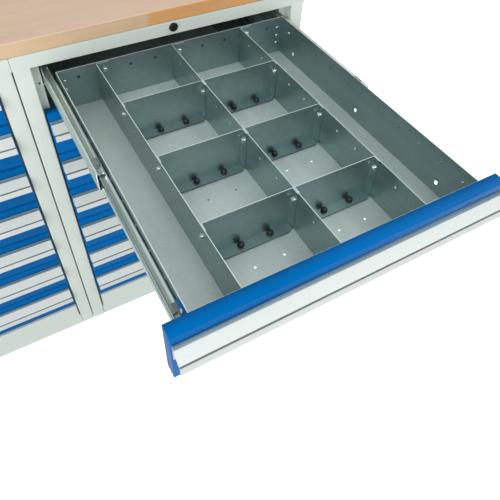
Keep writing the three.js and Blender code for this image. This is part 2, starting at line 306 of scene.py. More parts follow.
def sheet_zinc(name, dark, light, roughness, metallic):
    """Galvanised sheet: fine crystal grain, rolling streaks and soft clouding."""
    finish = Finish(name, light, roughness, metallic)
    clouds = finish.noise(9, detail=4)
    grain = finish.cells(420)
    streaks = finish.noise(60, detail=3, vector=finish.stretched((1, 0.04, 1)))
    tone = finish.math("ADD", finish.math("MULTIPLY", clouds, 0.55), finish.math("MULTIPLY", grain, 0.12))
    tone = finish.math("ADD", tone, finish.math("MULTIPLY", streaks, 0.33))
    finish.colour(finish.ramp(tone, [(0.32, dark), (0.68, light)]))
    finish.roughness(finish.span(tone, roughness - 0.06, roughness + 0.08))
    finish.bump(finish.math("ADD", streaks, grain), distance=0.00003, strength=0.4)
    return finish.material


def drawn_metal(name, dark, light, roughness, metallic, along):
    """Metal drawn or extruded along one axis, with fine lines that way."""
    finish = Finish(name, light, roughness, metallic)
    scale = [900, 900, 900]
    scale["xyz".index(along)] = 6
    lines = finish.noise(1, detail=3, vector=finish.stretched(scale))
    clouds = finish.noise(12, detail=3)
    tone = finish.math("ADD", finish.math("MULTIPLY", lines, 0.6), finish.math("MULTIPLY", clouds, 0.4))
    finish.colour(finish.ramp(tone, [(0.3, dark), (0.7, light)]))
    finish.roughness(finish.span(lines, roughness - 0.06, roughness + 0.06))
    finish.bump(lines, distance=0.00002, strength=0.3)
    return finish.material


def moulded_plastic(name, colour, lighter, roughness):
    """Moulded plastic with a fine spark-eroded grain."""
    finish = Finish(name, colour, roughness)
    grain = finish.noise(1500, detail=2)
    finish.colour(finish.ramp(finish.noise(120, detail=3), [(0.35, colour), (0.7, lighter)]))
    finish.roughness(finish.span(grain, roughness - 0.05, roughness + 0.08))
    finish.bump(grain, distance=0.00006, strength=0.4)
    return finish.material


def beech_board():
    """Glued beech: lamellas along X, finger-jointed staves of different tone, fine grain and pores."""
    lamella_w = 0.043
    stave_l = 0.58
    finger_pitch = 0.0062
    finger_l = 0.009
    edge_joint = 0.2475
    edge_skin = 0.0008
    front_y = cabinet_origin("right").y
    finish = Finish("beech", 0xE3C4AB, 0.5)
    x, y, z = finish.split()
    depth = finish.math("SUBTRACT", y, front_y - 0.001)
    row = finish.math("FLOOR", finish.math("DIVIDE", depth, lamella_w))
    shift = finish.add("ShaderNodeTexWhiteNoise", noise_dimensions="1D")
    finish.link(finish.math("ADD", row, 7.3), shift.inputs["W"])
    zigzag = finish.math("PINGPONG", z, finger_pitch / 2)
    fingers = finish.math("MULTIPLY", zigzag, 2 * finger_l / finger_pitch)
    along = finish.math("DIVIDE", finish.math("ADD", x, fingers), stave_l)
    stave = finish.math("FLOOR", finish.math("ADD", along, shift.outputs["Value"]))
    pick = finish.add("ShaderNodeTexWhiteNoise", noise_dimensions="2D")
    spot = finish.add("ShaderNodeCombineXYZ")
    finish.link(finish.math("ADD", stave, 3.5), spot.inputs["X"])
    finish.link(finish.math("ADD", row, 11.5), spot.inputs["Y"])
    finish.link(spot.outputs["Vector"], pick.inputs["Vector"])
    top_tone = finish.ramp(
        pick.outputs["Value"],
        [(0.0, 0xC6AE9B), (0.3, 0xC0A792), (0.55, 0xC3AA96), (0.8, 0xBDA28B), (1.0, 0xC9B4A1)],
    )
    on_edge = finish.math("LESS_THAN", y, front_y + edge_skin)
    edge_stave = finish.math("SUBTRACT", finish.math("ADD", x, fingers), edge_joint)
    after_joint = finish.math("GREATER_THAN", edge_stave, 0.0)
    edge_tone = finish.mix(after_joint, linear(0xD2B492), linear(0xD89F66))
    tone = finish.mix(on_edge, top_tone, edge_tone)
    offset = finish.add("ShaderNodeVectorMath", operation="ADD")
    finish.link(finish.stretched((3.0, 45.0, 45.0)), offset.inputs[0])
    finish.link(pick.outputs["Color"], offset.inputs[1])
    grain = finish.noise(1.6, detail=5, vector=offset.outputs["Vector"])
    pores = finish.noise(1, detail=2, vector=finish.stretched((90, 1500, 1500)))
    flecks = finish.span(pores, 0.0, 1.0, 0.60, 0.72)
    grained = finish.mix(finish.span(grain, 0.0, 0.22, 0.35, 0.75), tone, linear(0xA98A70))
    specked = finish.mix(finish.math("MULTIPLY", flecks, 0.16), grained, linear(0x9A6C4C))
    finish.colour(specked)
    finish.roughness(finish.span(grain, 0.42, 0.58))
    finish.bump(finish.math("ADD", grain, finish.math("MULTIPLY", flecks, -0.6)), 0.00008, 0.4)
    finish.shader.inputs["Specular IOR Level"].default_value = 0.3
    return finish.material


BEECH = beech_board()
GREY_PAINT = powder_coat("grey_paint", 0xCAD2CA, 0xC6CEC6, 0.46, 0.4)
BLUE_PAINT = powder_coat("blue_paint", 0x005FA3, 0x005A9B, 0.34, 0.1, 0x1A8CE6)
GALVANISED = sheet_zinc("galvanised_sheet", 0x839797, 0x9AADAD, 0.33, 0.9)
# Lighter, less metallic copy of the galvanised sheet for the tub floors: painted light from overhead.
LIT_FLOOR_ZINC = sheet_zinc("painted_lit_floor", 0xB6C4C1, 0xCCD8D5, 0.42, 0.35)
# Dark grey for the dividers' foot edges: a painted shadow line under the foot.
SHADED_EDGE = sheet_zinc("painted_foot_shadow_line", 0x353D3E, 0x454E4F, 0.5, 0.5)
# Dark grey for the slide posts and brackets: painted shade inside the cabinet, seen through the stile's
# holes.
POST_SHADE_ZINC = sheet_zinc("painted_shade_post", 0x5F6866, 0x717A77, 0.45, 0.4)
CUT_EDGE = sheet_zinc("cut_sheet_edge", 0xB9CBC9, 0xD2E0DD, 0.35, 0.6)
ALUMINIUM = drawn_metal("satin_aluminium", 0xC3C9C7, 0xD2D7D5, 0.36, 0.45, "x")
# Blue-grey head of the strip: painted reflection of the blue nose above it, with its shade.
STRIP_HEAD = drawn_metal("painted_blue_reflection_head", 0x93AABB, 0xA9BECC, 0.22, 1.0, "x")
LABEL_FACE = powder_coat("anodised_label_face", 0xCACFCC, 0xC6CBC8, 0.5, 0.3)
# Dark grey in the label groove: painted shade for the slot's shadowed inside.
GROOVE_SHADE = moulded_plastic("painted_groove_shadow", 0x5E6767, 0x6A7373, 0.6)
ZINC_PLATE = drawn_metal("zinc_plated_steel", 0xBACBC6, 0xDAE4DF, 0.28, 0.9, "y")
GREASED_TRACK = drawn_metal("greased_ball_track", 0x74827C, 0x97A49C, 0.34, 0.7, "y")
BRIGHT_ZINC = drawn_metal("bright_zinc_screw", 0xB9C4C4, 0xE1E7E6, 0.22, 1.0, "z")
BLACK_PLASTIC = moulded_plastic("black_plastic", 0x141618, 0x1E2123, 0.4)
GREY_PLASTIC = moulded_plastic("grey_plastic", 0x596461, 0x6C7673, 0.5)


# -------- outlines
def rounded_path(points, radii, closed=False, steps=4):
    """A bent line whose corners turn on the given radii."""
    corners = [Vector(p) for p in points]
    path = []
    for i, corner in enumerate(corners):
        loose_end = not closed and i in (0, len(corners) - 1)
        if loose_end or radii[i] <= 0:
            path.append(corner)
            continue
        before = (corners[i - 1] - corner).normalized()
        after = (corners[(i + 1) % len(corners)] - corner).normalized()
        half = before.angle(after) / 2
        centre = corner + (before + after).normalized() * radii[i] / math.sin(half)
        start = corner + before * radii[i] / math.tan(half) - centre
        end = corner + after * radii[i] / math.tan(half) - centre
        for k in range(steps + 1):
            spoke = start.lerp(end, k / steps).normalized() * radii[i]
            path.append(centre + spoke)
    return path


def moved_left(path, distance):
    """The bent line moved sideways to its left."""
    moved = []
    for i, point in enumerate(path):
        into = path[i] - path[i - 1] if i else path[1] - path[0]
        out = path[i + 1] - path[i] if i + 1 < len(path) else into
        a = Vector((-into.y, into.x)).normalized()
        b = Vector((-out.y, out.x)).normalized()
        moved.append(point + (a + b) * distance / (1 + a.dot(b)))
    return moved


def sheet_section(points, radii, thickness):
    """Outline of a bent sheet whose thickness lies to the left of the line."""
    path = rounded_path(points, radii)
    return path + moved_left(path, thickness)[::-1]


def mirrored(section):
    return [Vector((CABINET_W - p.x, p.y)) for p in section]


# -------- meshes
AXES = {
    "x": lambda u, v, w: (w, u, v),
    "y": lambda u, v, w: (u, w, v),
    "z": lambda u, v, w: (u, v, w),
}


def add_prism(bm, section, axis, start, end):
    """An outline in the two other axes, drawn out along axis."""
    rings = [[bm.verts.new(AXES[axis](p[0], p[1], w)) for p in section] for w in (start, end)]
    count = len(section)
    faces = []
    for i in range(count):
        j = (i + 1) % count
        faces.append(bm.faces.new([rings[0][i], rings[0][j], rings[1][j], rings[1][i]]))
    faces.append(bm.faces.new(rings[0][::-1]))
    faces.append(bm.faces.new(rings[1]))
    bmesh.ops.recalc_face_normals(bm, faces=faces)


def add_block(bm, x, y, z):
    section = [(x[0], y[0]), (x[1], y[0]), (x[1], y[1]), (x[0], y[1])]
    add_prism(bm, section, "z", *z)


def add_turned(bm, profile, centre, axis, sides=24):
    """A profile of (radius, height) turned about axis through centre, closed at both ends."""
    rings = []
    for radius, height in profile:
        ring = []
        for k in range(sides):
            angle = 2 * math.pi * k / sides
            u, v = radius * math.cos(angle), radius * math.sin(angle)
            ring.append(bm.verts.new(Vector(AXES[axis](u, v, height)) + Vector(centre)))
        rings.append(ring)
    faces = []
    for lower, upper in zip(rings, rings[1:]):
        for k in range(sides):
            j = (k + 1) % sides
            faces.append(bm.faces.new([lower[k], lower[j], upper[j], upper[k]]))
    faces.append(bm.faces.new(rings[0][::-1]))
    faces.append(bm.faces.new(rings[-1]))
    bmesh.ops.recalc_face_normals(bm, faces=faces)


def edges_where(bm, test):
    return [e for e in bm.edges if all(test(v.co) for v in e.verts)]


def near(a, b):
    return abs(a - b) < 1e-4


def round_edges(bm, edges, radius, steps):
    bmesh.ops.bevel(
        bm, geom=edges, offset=radius, segments=steps, profile=0.5, affect="EDGES", clamp_overlap=True
    )


def to_mesh(bm, name, smooth_below=35):
    """The finished millimetre mesh, in metres, shaded smooth across its gentle edges."""
    bmesh.ops.scale(bm, vec=(MM, MM, MM), verts=bm.verts)
    for face in bm.faces:
        face.smooth = True
    mesh = bpy.data.meshes.new(name)
    bm.to_mesh(mesh)
    bm.free()
    mesh.set_sharp_from_angle(angle=math.radians(smooth_below))
    return mesh


def shown(name, mesh, material, body, stands_for=(), at=None):
    """A finished piece: placed in its mesh, dressed, riding on its body."""
    if at is not None:
        mesh = mesh.copy()
        mesh.transform(Matrix.Translation(at))
    mesh.name = name
    piece = bpy.data.objects.new(name, mesh)
    put_in_scene(piece)
    if not mesh.materials:
        mesh.materials.append(material)
    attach(piece, body)
    if stands_for:
        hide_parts(*stands_for)
    return piece


def soften(piece, width, steps=2):
    """A live bevel on the piece's sharp edges."""
    bevel = piece.modifiers.new("softened_edges", "BEVEL")
    bevel.width = width * MM
    bevel.segments = steps
    bevel.limit_method = "ANGLE"
    bevel.angle_limit = math.radians(40)


def bright_edges(mesh, height):
    """Galvanised sheet whose cut faces at that height have the cut-edge finish."""
    mesh.materials.clear()
    mesh.materials.append(GALVANISED)
    mesh.materials.append(CUT_EDGE)
    for polygon in mesh.polygons:
        on_top = abs(polygon.center.z - height * MM) < 1e-5
        polygon.material_index = 1 if on_top else 0


# -------- geometry node trees
def new_tree(name, inputs):
    tree = bpy.data.node_groups.new(name, "GeometryNodeTree")
    tree.interface.new_socket("Geometry", in_out="INPUT", socket_type="NodeSocketGeometry")
    for label, kind, value in inputs:
        socket = tree.interface.new_socket(label, in_out="INPUT", socket_type=f"NodeSocket{kind}")
        if value is not None:
            socket.default_value = value
    tree.interface.new_socket("Geometry", in_out="OUTPUT", socket_type="NodeSocketGeometry")
    start = tree.nodes.new("NodeGroupInput")
    end = tree.nodes.new("NodeGroupOutput")
    return tree, start.outputs, end.inputs["Geometry"]


def finish_tree(tree, geometry, given, end):
    """Closes a tree: real geometry, with its material set."""
    real = tree.nodes.new("GeometryNodeRealizeInstances")
    dressed = tree.nodes.new("GeometryNodeSetMaterial")
    tree.links.new(geometry, real.inputs["Geometry"])
    tree.links.new(real.outputs["Geometry"], dressed.inputs["Geometry"])
    tree.links.new(given["Material"], dressed.inputs["Material"])
    tree.links.new(dressed.outputs["Geometry"], end)


def drilled_row_tree():
    """Cuts a row of round holes through a sheet."""
    inputs = [
        ("First Hole", "Vector", (0, 0, 0)),
        ("Step", "Vector", (0, 0, 0)),
        ("Count", "Int", 1),
        ("Radius", "Float", HOLE_RADIUS * MM),
        ("Depth", "Float", 0.01),
        ("Turn", "Vector", (0, 0, 0)),
        ("Material", "Material", None),
    ]
    tree, given, end = new_tree("drilled_row", inputs)
    link = tree.links.new
    row = tree.nodes.new("GeometryNodeMeshLine")
    link(given["Count"], row.inputs["Count"])
    link(given["First Hole"], row.inputs["Start Location"])
    link(given["Step"], row.inputs["Offset"])
    drill = tree.nodes.new("GeometryNodeMeshCylinder")
    drill.inputs["Vertices"].default_value = 14
    link(given["Radius"], drill.inputs["Radius"])
    link(given["Depth"], drill.inputs["Depth"])
    holes = tree.nodes.new("GeometryNodeInstanceOnPoints")
    link(row.outputs["Mesh"], holes.inputs["Points"])
    link(drill.outputs["Mesh"], holes.inputs["Instance"])
    link(given["Turn"], holes.inputs["Rotation"])
    drills = tree.nodes.new("GeometryNodeRealizeInstances")
    link(holes.outputs["Instances"], drills.inputs["Geometry"])
    cut = tree.nodes.new("GeometryNodeMeshBoolean")
    cut.operation = "DIFFERENCE"
    cut.solver = "EXACT"
    cut.inputs["Self Intersection"].default_value = True
    link(given["Geometry"], cut.inputs["Mesh 1"])
    link(drills.outputs["Geometry"], cut.inputs["Mesh 2"])
    finish_tree(tree, cut.outputs["Mesh"], given, end)
    return tree


def fastener_tree():
    """Sets a copy of one fastener at every point."""
    inputs = [
        ("Fastener", "Object", None),
        ("Turn", "Vector", (0, 0, 0)),
        ("Material", "Material", None),
    ]
    tree, given, end = new_tree("fasteners", inputs)
    link = tree.links.new
    pattern = tree.nodes.new("GeometryNodeObjectInfo")
    link(given["Fastener"], pattern.inputs["Object"])
    copies = tree.nodes.new("GeometryNodeInstanceOnPoints")
    link(given["Geometry"], copies.inputs["Points"])
    link(pattern.outputs["Geometry"], copies.inputs["Instance"])
    link(given["Turn"], copies.inputs["Rotation"])
    finish_tree(tree, copies.outputs["Instances"], given, end)
    return tree


DRILLED_ROW = drilled_row_tree()
FASTENERS = fastener_tree()


def set_inputs(modifier, values):
    """Sets a modifier's named inputs by their sockets' identifiers."""
    for item in modifier.node_group.interface.items_tree:
        if item.in_out == "INPUT" and item.name in values:
            modifier[item.identifier] = values[item.name]


def evaluated(piece):
    depsgraph = bpy.context.evaluated_depsgraph_get()
    return bpy.data.meshes.new_from_object(piece.evaluated_get(depsgraph))


def baked(mesh, steps):
    """The mesh after one geometry tree for each (tree, inputs) pair, as plain geometry."""
    holder = bpy.data.objects.new("work", mesh)
    for tree, values in steps:
        modifier = holder.modifiers.new(tree.name, "NODES")
        modifier.node_group = tree
        set_inputs(modifier, values)
    put_in_scene(holder)
    result = evaluated(holder)
    bpy.data.objects.remove(holder)
    return result


TURNS = {"x": (0, math.pi / 2, 0), "y": (math.pi / 2, 0, 0), "z": (0, 0, 0)}


def hole_row(first, step, count, axis, material, radius=HOLE_RADIUS, depth=6):
    """A step for baked(): a row of holes drilled along axis, in millimetres."""
    values = {
        "First Hole": tuple(Vector(first) * MM),
        "Step": tuple(Vector(step) * MM),
        "Count": count,
        "Radius": radius * MM,
        "Depth": depth * MM,
        "Turn": TURNS[axis],
        "Material": material,
    }
    return DRILLED_ROW, values


def fastener_pattern(name, profile, sides=14):
    """A turned head along -Y that fastener_set() copies, from (radius, height) pairs."""
    bm = bmesh.new()
    add_turned(bm, [(r, -h) for r, h in profile], (0, 0, 0), "y", sides)
    pattern = bpy.data.objects.new(name, to_mesh(bm, name))
    put_in_scene(pattern)
    pattern.hide_render = True
    return pattern


def dome(radius, height, rings=4, skirt=0.0):
    """Profile of a domed head, with an optional straight skirt under it."""
    profile = [(radius, 0.0)]
    for k in range(rings + 1):
        angle = math.pi / 2 * k / rings
        profile.append((max(radius * math.cos(angle), 0.05), skirt + height * math.sin(angle)))
    return profile if skirt else profile[1:]


# Turns for a head that points along -Y
FACING = {
    "front": (0, 0, 0),
    "up": (-math.pi / 2, 0, 0),
    "left": (0, 0, -math.pi / 2),
    "right": (0, 0, math.pi / 2),
}


def fastener_set(name, points, pattern, facing, material, body, at):
    """One piece that holds a fastener at each point, in millimetres."""
    mesh = bpy.data.meshes.new(name)
    mesh.from_pydata([tuple(Vector(p) * MM) for p in points], [], [])
    values = {"Fastener": pattern, "Turn": FACING[facing], "Material": material}
    shown(name, baked(mesh, [(FASTENERS, values)]), material, body, at=at)


def zinc_fasteners(name, points, pattern, facing, body, at):
    fastener_set(name, points, pattern, facing, BRIGHT_ZINC, body, at)


RIVET = fastener_pattern("rivet_pattern", dome(3.0, 1.5))
PUSH_RIVET = fastener_pattern("push_rivet_pattern", dome(5.3, 4.4, skirt=2.6))
BOLT_PROFILE = [(5.2, 0.0), (5.2, 0.6), (3.9, 0.7), (3.8, 3.0), (3.2, 3.6), (0.05, 3.7)]
BOLT = fastener_pattern("bolt_pattern", BOLT_PROFILE, sides=12)
PAN_PROFILE = [(4.2, 0.0), (4.1, 0.7), (3.2, 1.6), (1.8, 1.9), (1.7, 0.9), (0.05, 0.8)]
PAN_SCREW = fastener_pattern("pan_screw_pattern", PAN_PROFILE)


# -------- worktop
def add_worktop():
    low, high = (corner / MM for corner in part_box("worktop"))
    bm = bmesh.new()
    add_block(bm, (low.x, high.x), (low.y, high.y), (low.z, high.z))
    mesh = to_mesh(bm, "beech_worktop")
    soften(shown("beech_worktop", mesh, BEECH, "bench", ["worktop"]), 1.6, 3)


# -------- cabinet shells
def side_section(side):
    path = [
        (BACK_FLANGE, CABINET_D), (HALF_SEAM, CABINET_D), (HALF_SEAM, SEAM_STEP_Y[1]),
        (SEAM_RELIEF, SEAM_STEP_Y[0]), (SEAM_RELIEF, 0), (STILE_W, 0),
        (STILE_W, STILE_RETURN), (FLANGE_END, STILE_RETURN),
    ]
    section = sheet_section(path, [0, FOLD_RADIUS, 1, 1, 1.8, FOLD_RADIUS, 1.1, 0], SHEET)
    return section if side == "left" else mirrored(section)


def post_section(side, y):
    wall = HALF_SEAM + SHEET
    path = [(wall, y), (POST_FACE, y), (POST_FACE, y + POST_D), (wall, y + POST_D)]
    section = sheet_section(path, POST_BENDS, SHEET)
    return section if side == "left" else mirrored(section)


def slide_windows():
    """Heights between the slides, where a hanging bracket can reach past them."""
    slide_z = [RAIL_BOTTOM - DRAWER_GAP - i * PITCH - SLIDE_DROP for i in range(DRAWERS)]
    clear = SLIDE_CLEARANCE
    bands = [(slide_z[0] + clear, RAIL_BOTTOM - 2)]
    bands += [(below + clear, above - clear) for above, below in zip(slide_z, slide_z[1:])]
    return bands


def add_side(cabinet, side):
    """Folded side with its stile, return and flange, two slide posts and their hanging brackets."""
    origin = cabinet_origin(cabinet)
    bm = bmesh.new()
    add_prism(bm, side_section(side), "z", 0, RAIL_BOTTOM)
    wall = to_mesh(bm, "side_wall")
    towards = 1 if side == "left" else -1
    edge = 0 if side == "left" else CABINET_W
    flange_hole = (edge + towards * FLANGE_HOLE[0], STILE_RETURN, FLANGE_HOLE[1])
    return_hole = (edge + towards * STILE_W, *RETURN_HOLE)
    step = (0, 0, -PITCH)
    holes = [
        hole_row(flange_hole, step, DRAWERS, "y", GREY_PAINT, radius=2.2),
        hole_row(return_hole, step, DRAWERS, "x", GREY_PAINT, radius=1.8),
    ]
    wall = baked(wall, holes)
    name = f"{cabinet}_cabinet_{side}_wall"
    shown(name, wall, GREY_PAINT, "bench", [f"{cabinet}_cabinet_{side}_side"], at=origin)

    bm = bmesh.new()
    for y in POST_Y:
        add_prism(bm, post_section(side, y), "z", *POST_ENDS)
    for low, high in slide_windows():
        reach = sorted((edge + towards * (POST_FACE - 8), edge + towards * BRACKET_REACH))
        add_block(bm, reach, (POST_Y[0] + SHEET, POST_Y[0] + 2 * SHEET), (low, high))
    # Posts and brackets carry the painted shade.
    name = f"{cabinet}_cabinet_{side}_slide_posts"
    shown(name, to_mesh(bm, name), POST_SHADE_ZINC, "bench", at=origin)


def add_top_cover(cabinet):
    """Upside-down tray, its front skirt the top rail with the lock's bore."""
    origin = cabinet_origin(cabinet)
    x = (HALF_SEAM, CABINET_W - HALF_SEAM)
    bm = bmesh.new()
    add_block(bm, x, (0, CABINET_D), (RAIL_BOTTOM, CABINET_H))
    round_edges(bm, edges_where(bm, lambda v: near(v.z, CABINET_H)), 1.0, 2)
    inner_x = (x[0] + SHEET, x[1] - SHEET)
    inner = inner_x, (SHEET, CABINET_D - SHEET), (RAIL_BOTTOM - 1, CABINET_H - SHEET)
    tray = hollowed(bm, inner)
    lock_place = (CABINET_W / 2, 0, CABINET_H - LOCK_DROP)
    bore = hole_row(lock_place, (0, 0, 0), 1, "y", GREY_PAINT, radius=LOCK_BORE_RADIUS)
    name = f"{cabinet}_cabinet_cover"
    node = f"{cabinet}_cabinet_top_cover"
    shown(name, baked(tray, [bore]), GREY_PAINT, "bench", [node], at=origin)


def hollowed(bm, inner):
    """The block with another block cut out of it, as a mesh in metres."""
    outer = to_mesh(bm, "outer")
    tool = bmesh.new()
    add_block(tool, *inner)
    body = bpy.data.objects.new("outer", outer)
    cutter = bpy.data.objects.new("inner", to_mesh(tool, "inner"))
    put_in_scene(body)
    put_in_scene(cutter)
    cut = body.modifiers.new("cut", "BOOLEAN")
    cut.object = cutter
    cut.operation = "DIFFERENCE"
    cut.solver = "EXACT"
    mesh = evaluated(body)
    bpy.data.objects.remove(body)
    bpy.data.objects.remove(cutter)
    return mesh


def add_lock_face(cabinet):
    """Round face of the lock, with a key slot; its barrel and rod are the frame's."""
    z = CABINET_H - LOCK_DROP
    x = CABINET_W / 2
    bm = bmesh.new()
    r = LOCK_FACE_RADIUS
    rim = [(r - 0.4, 0.0), (r, -0.3), (r, -1.6), (r - 0.8, -2.3)]
    profile = rim + [(6.4, -2.5), (6.2, -2.1), (5.9, -2.4), (0.05, -2.5)]
    add_turned(bm, [(a, b - TOUCH) for a, b in profile], (x, 0, z), "y", 40)
    face = to_mesh(bm, "lock_face")
    key = hole_row((x, -3, z), (0, 0, 1.4), 3, "y", BLACK_PLASTIC, radius=0.9, depth=3.4)
    name = f"{cabinet}_lock_face"
    body = f"{cabinet}_lock"
    origin = cabinet_origin(cabinet)
    shown(name, baked(face, [key]), BLACK_PLASTIC, body, at=origin)


def dress_frame_nodes():
    """Finishes for the frame's own nodes that stay."""
    finishes = {
        "cabinet_base": GREY_PAINT,
        "cabinet_back": GREY_PAINT,
        "lock": BLACK_PLASTIC,
        "locking_bar": ZINC_PLATE,
    }
    for cabinet in CABINETS:
        for part, material in finishes.items():
            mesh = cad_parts[f"{cabinet}_{part}"].data
            mesh.materials.clear()
            mesh.materials.append(material)


# -------- drawers
def front_mesh():
    """Folded front: rolled nose, closed ends, open towards the tub."""
    bm = bmesh.new()
    add_block(bm, FRONT_X, FRONT_Y, (-FRONT_H, 0))
    nose = edges_where(bm, lambda v: near(v.y, FRONT_Y[0]) and near(v.z, 0))
    round_edges(bm, nose, NOSE_RADIUS, 6)
    foot = edges_where(bm, lambda v: near(v.y, FRONT_Y[0]) and near(v.z, -FRONT_H))
    round_edges(bm, foot, 1.8, 3)
    ends = [
        e
        for e in bm.edges
        if any(all(near(v.co.x, x) for v in e.verts) for x in FRONT_X)
        and not all(near(v.co.y, FRONT_Y[1]) for v in e.verts)
    ]
    round_edges(bm, ends, 0.9, 2)
    back = [f for f in bm.faces if all(near(v.co.y, FRONT_Y[1]) for v in f.verts)]
    bmesh.ops.delete(bm, geom=back, context="FACES_ONLY")
    return to_mesh(bm, "front", smooth_below=50)


def strip_section():
    """Extruded grip strip: leg, stepped head, slanted label face, groove and finger lip."""
    face = FRONT_Y[0] - TOUCH
    return [
        (face, -47), (face, -16.3), (face - 0.3, -16), (0.9, -16),
        (-1.9, -20.6), (-2.2, -21.4), (-2.0, -22.0), (-1.3, -22.2),
        (-15.0, -36.2), (-14.2, -37.3), (-15.3, -38.4), (-16.6, -38.4),
        (-17.2, -39.0), (-18.5, -49.4), (-18.6, -50.0), (-18.2, -50.2),
        (-17.2, -50.2), (-16.9, -49.8), (-15.6, -40.2), (-14.2, -39.6),
        (0.9, -24.2), (0.9, -47),
    ]


def strip_mesh():
    bm = bmesh.new()
    add_prism(bm, strip_section(), "x", FRONT_X[0] + STRIP_INSET, FRONT_X[1] - STRIP_INSET)
    mesh = to_mesh(bm, "strip", smooth_below=25)
    for material in (ALUMINIUM, LABEL_FACE, GROOVE_SHADE, STRIP_HEAD):
        mesh.materials.append(material)
    slant = Vector((0, -1, 1)).normalized()
    for polygon in mesh.polygons:
        place = polygon.center / MM
        # The groove's faces get the painted shade.
        in_groove = -16.7 < place.y < -14.1 and -38.5 < place.z < -36.7
        if in_groove and polygon.normal.x == 0:
            polygon.material_index = 2
        elif polygon.normal.dot(slant) > 0.995 and place.y > -14:
            polygon.material_index = 1
        # The head faces take the painted blue reflection.
        elif -22.3 < place.z < -15.9:
            polygon.material_index = 3
    return mesh


def grid_x(position):
    return CABINET_W / 2 + (position - 5) * HOLE_PITCH


PARTITION_X = [grid_x(n) - PARTITION_OFFSET for n in BOLTED_HOLES]
ROW_Y = TUB_Y[1] - DRAWER_SHEET - ROW_START
DIVIDER_Y = [ROW_Y - n * HOLE_PITCH + DIVIDER_BOLT_AHEAD for n in BOLTED_HOLES]
PLATE_TOP = TUB_TOP - 2
PLATE_BOTTOM = TUB_FLOOR + TOUCH
FOOT_TOP = PLATE_BOTTOM + 2.4
FOOT_INSET = (22, 2)
FLOOR_GRID_SHIFT = -3
HOOK_Y = (496.6, 290.6, 84.6)
HOOK_TOP_Z = -52


def tub_mesh():
    """Galvanised tub, with rows of holes, hook slots and small floor holes; its floor takes a lighter
    copy of the sheet as painted light.
    """
    t = DRAWER_SHEET
    bm = bmesh.new()
    floor = TUB_FLOOR - t
    add_block(bm, TUB_X, TUB_Y, (floor, TUB_TOP))
    lower = edges_where(bm, lambda v: near(v.z, floor))
    round_edges(bm, lower, 2.0, 3)
    inner_x = (TUB_X[0] + t, TUB_X[1] - t)
    inner_y = (TUB_Y[0] + t, TUB_Y[1] - t)
    tub = hollowed(bm, (inner_x, inner_y, (TUB_FLOOR, TUB_TOP + 5)))
    wall_z = TUB_TOP - WALL_HOLE_DROP
    steps = [hole_row((grid_x(1), TUB_Y[1], wall_z), (HOLE_PITCH, 0, 0), 9, "y", GALVANISED)]
    for x in TUB_X:
        steps.append(hole_row((x, WALL_HOLE_START, wall_z), (0, -HOLE_PITCH, 0), 9, "x", GALVANISED))
        for y in HOOK_Y:
            slot_top = (x, y, HOOK_TOP_Z - 3)
            steps.append(hole_row(slot_top, (0, 0, -1.6), 5, "x", GALVANISED, HOOK_SLOT_RADIUS))
    for n in (3, 4, 6, 7):
        first = (grid_x(n) + FLOOR_GRID_SHIFT, DIVIDER_Y[0] - HOLE_PITCH, TUB_FLOOR)
        steps.append(hole_row(first, (0, -3 * HOLE_PITCH, 0), 3, "z", GALVANISED, FLOOR_HOLE_RADIUS))
    tub = baked(tub, steps)
    bright_edges(tub, TUB_TOP)
    tub.materials.append(LIT_FLOOR_ZINC)
    # Up-facing floor faces take the lighter copy: painted light.
    for polygon in tub.polygons:
        if abs(polygon.center.z - TUB_FLOOR * MM) < 1e-5 and polygon.normal.z > 0.9:
            polygon.material_index = 2
    tub.set_sharp_from_angle(angle=math.radians(35))
    return tub


def hook_tongues_mesh():
    """Pressed tongues behind the upper part of each hook slot."""
    r = TONGUE_RADIUS
    bm = bmesh.new()
    for x, out in ((TUB_X[0], -1), (TUB_X[1], 1)):
        for y in HOOK_Y:
            section = []
            for k in range(9):
                angle = math.pi * k / 8
                height = HOOK_TOP_Z - 1 + r * math.sin(angle)
                section.append((y + r * math.cos(angle), height))
            section += [(y - r, HOOK_TOP_Z - 6), (y + r, HOOK_TOP_Z - 6)]
            plate = sorted((x + out * 0.05, x + out * 1.1))
            add_prism(bm, section, "x", *plate)
    return to_mesh(bm, "hook_tongues")


def slide_channel(web_x, width, half, bulge):
    """Rolled channel with a ball groove in each lip; width is negative when the lips point left."""
    sign = 1 if width > 0 else -1
    reach = abs(width)
    points = [
        (web_x + sign * reach, half - bulge * 0.2),
        (web_x + sign * (reach - 2.2), half - bulge),
        (web_x + sign * (reach * 0.45), half - bulge),
        (web_x + sign * (reach * 0.25), half),
        (web_x, half),
    ]
    lower = [(x, -z) for x, z in reversed(points)]
    radii = [0, 1.2, 1.2, 1.2, 1.6, 1.6, 1.2, 1.2, 1.2, 0]
    path = points + lower
    if sign < 0:
        path = path[::-1]
        radii = radii[::-1]
    return sheet_section(path, radii, SLIDE_SHEET)


# Left-hand slide: web place, lip reach and half height of each member, then its ends when shut
MEMBERS = {
    "cabinet": (38, 19, 22, 27, 577),
    "middle": (47, 12.2, 17, 6.5, 546.5),
    "drawer": (63, -11.3, 12, 25, 544.5),
}
TRACK_BULGE = 1.6


